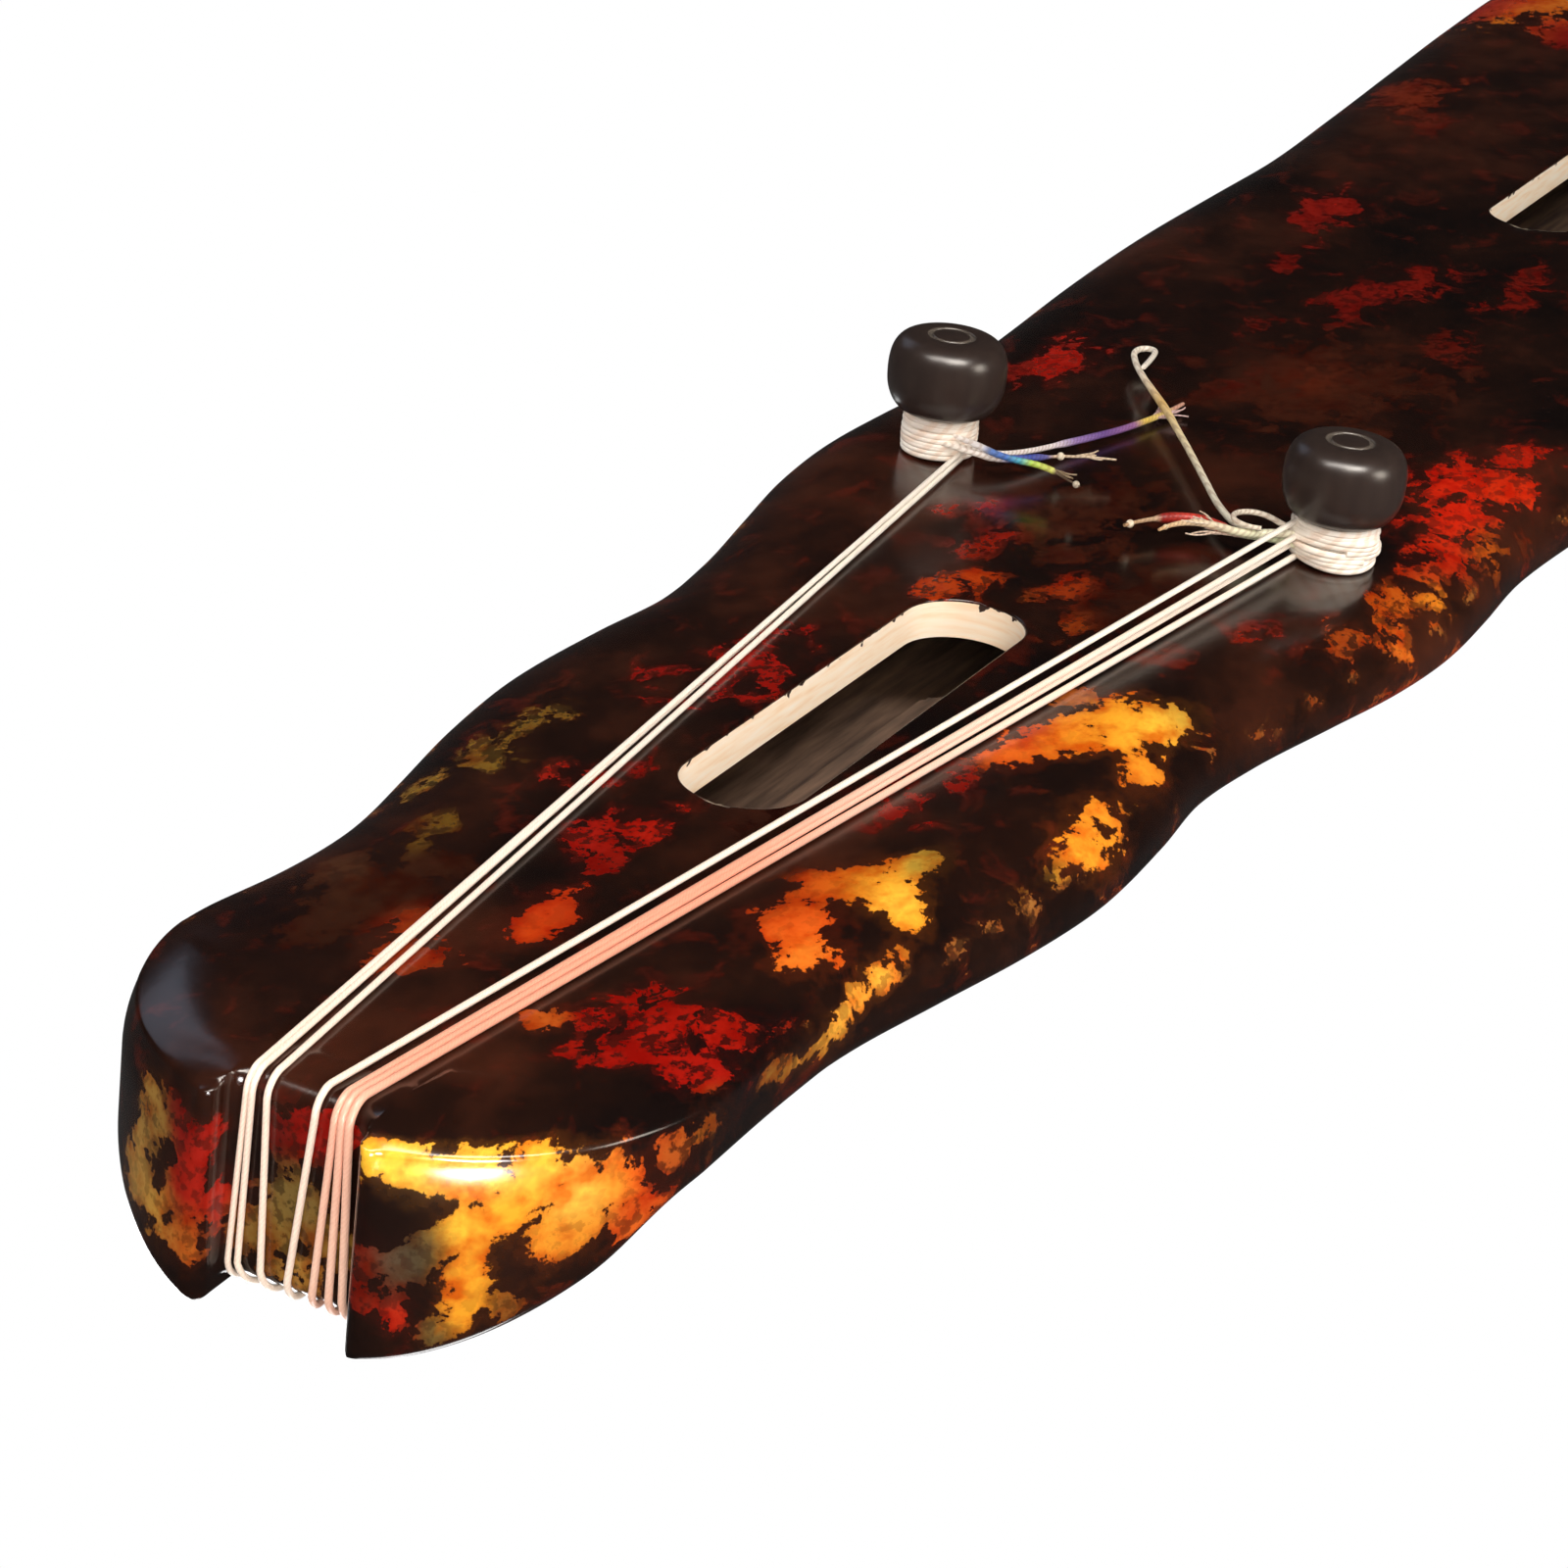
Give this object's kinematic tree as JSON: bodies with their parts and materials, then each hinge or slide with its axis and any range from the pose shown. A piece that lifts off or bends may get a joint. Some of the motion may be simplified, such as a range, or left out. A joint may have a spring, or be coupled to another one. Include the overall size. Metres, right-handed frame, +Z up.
{
  "type": "guqin",
  "caption": "Long plucked zither with a wavy lacquered sound box, strings wound round turned feet below, pearl studs and friction pegs at the head",
  "frame": {"origin": "middle of the footprint, on the table that the feet and the peg guards stand on", "axes": "+X along the instrument to the head, +Y to the outer side with the studs, +Z up"},
  "size_m": [1.2218, 0.194, 0.0922],
  "materials": {
    "lacquer": "glossy dark lacquer with red, orange and gold mottling",
    "rosewood": "satin oiled rosewood",
    "raw_wood": "raw planed wood",
    "black_wood": "black satin gloss, turned",
    "mother_of_pearl": "polished mother of pearl",
    "string_pink": "smooth wrapped silk string, salmon pink",
    "string_white": "smooth wrapped silk string, cream white",
    "silk_cord": "twisted silk cord"
  },
  "bodies": {
    "instrument": {"top_board": "lacquer", "bottom_board": "lacquer", "tail_crown_left": "lacquer", "tail_crown_right": "lacquer", "tail_nut": "lacquer", "lower_tail_gum": "lacquer", "bridge": "rosewood", "dew_collector": "rosewood", "peg_pool_plate": "rosewood", "peg_guard_left": "rosewood", "peg_guard_right": "rosewood", "hui_01": "mother_of_pearl", "hui_02": "mother_of_pearl", "hui_03": "mother_of_pearl", "hui_04": "mother_of_pearl", "hui_05": "mother_of_pearl", "hui_06": "mother_of_pearl", "hui_07": "mother_of_pearl", "hui_08": "mother_of_pearl", "hui_09": "mother_of_pearl", "hui_10": "mother_of_pearl", "hui_11": "mother_of_pearl", "hui_12": "mother_of_pearl", "hui_13": "mother_of_pearl", "heaven_pillar": "raw_wood", "earth_pillar": "raw_wood", "goose_foot_left": "black_wood", "goose_foot_right": "black_wood", "string_1": "string_pink", "string_2": "string_pink", "string_3": "string_pink", "string_4": "string_white", "string_5": "string_white", "string_6": "string_white", "string_7": "string_white", "string_end_1": "string_pink", "string_end_2": "string_pink", "string_end_3": "string_pink", "string_end_4": "string_white", "string_end_5": "string_white", "string_end_6": "string_white", "string_end_7": "string_white", "peg_cord_1": "silk_cord", "peg_cord_2": "silk_cord", "peg_cord_3": "silk_cord", "peg_cord_4": "silk_cord", "peg_cord_5": "silk_cord", "peg_cord_6": "silk_cord", "peg_cord_7": "silk_cord"},
    "tuning_peg_1_body": {"tuning_peg_1": "rosewood"},
    "tuning_peg_2_body": {"tuning_peg_2": "rosewood"},
    "tuning_peg_3_body": {"tuning_peg_3": "rosewood"},
    "tuning_peg_4_body": {"tuning_peg_4": "rosewood"},
    "tuning_peg_5_body": {"tuning_peg_5": "rosewood"},
    "tuning_peg_6_body": {"tuning_peg_6": "rosewood"},
    "tuning_peg_7_body": {"tuning_peg_7": "rosewood"}
  },
  "joints": [
    {"name": "tuning_peg_1_turn", "type": "hinge", "parent": "instrument", "child": "tuning_peg_1_body", "pos_m": [0.5498, 0.0555, 0.02], "axis": [0, 0, 1], "continuous": true},
    {"name": "tuning_peg_2_turn", "type": "hinge", "parent": "instrument", "child": "tuning_peg_2_body", "pos_m": [0.5498, 0.037, 0.02], "axis": [0, 0, 1], "continuous": true},
    {"name": "tuning_peg_3_turn", "type": "hinge", "parent": "instrument", "child": "tuning_peg_3_body", "pos_m": [0.5498, 0.0185, 0.02], "axis": [0, 0, 1], "continuous": true},
    {"name": "tuning_peg_4_turn", "type": "hinge", "parent": "instrument", "child": "tuning_peg_4_body", "pos_m": [0.5498, 0, 0.02], "axis": [0, 0, 1], "continuous": true},
    {"name": "tuning_peg_5_turn", "type": "hinge", "parent": "instrument", "child": "tuning_peg_5_body", "pos_m": [0.5498, -0.0185, 0.02], "axis": [0, 0, 1], "continuous": true},
    {"name": "tuning_peg_6_turn", "type": "hinge", "parent": "instrument", "child": "tuning_peg_6_body", "pos_m": [0.5498, -0.037, 0.02], "axis": [0, 0, 1], "continuous": true},
    {"name": "tuning_peg_7_turn", "type": "hinge", "parent": "instrument", "child": "tuning_peg_7_body", "pos_m": [0.5498, -0.0555, 0.02], "axis": [0, 0, 1], "continuous": true}
  ]
}
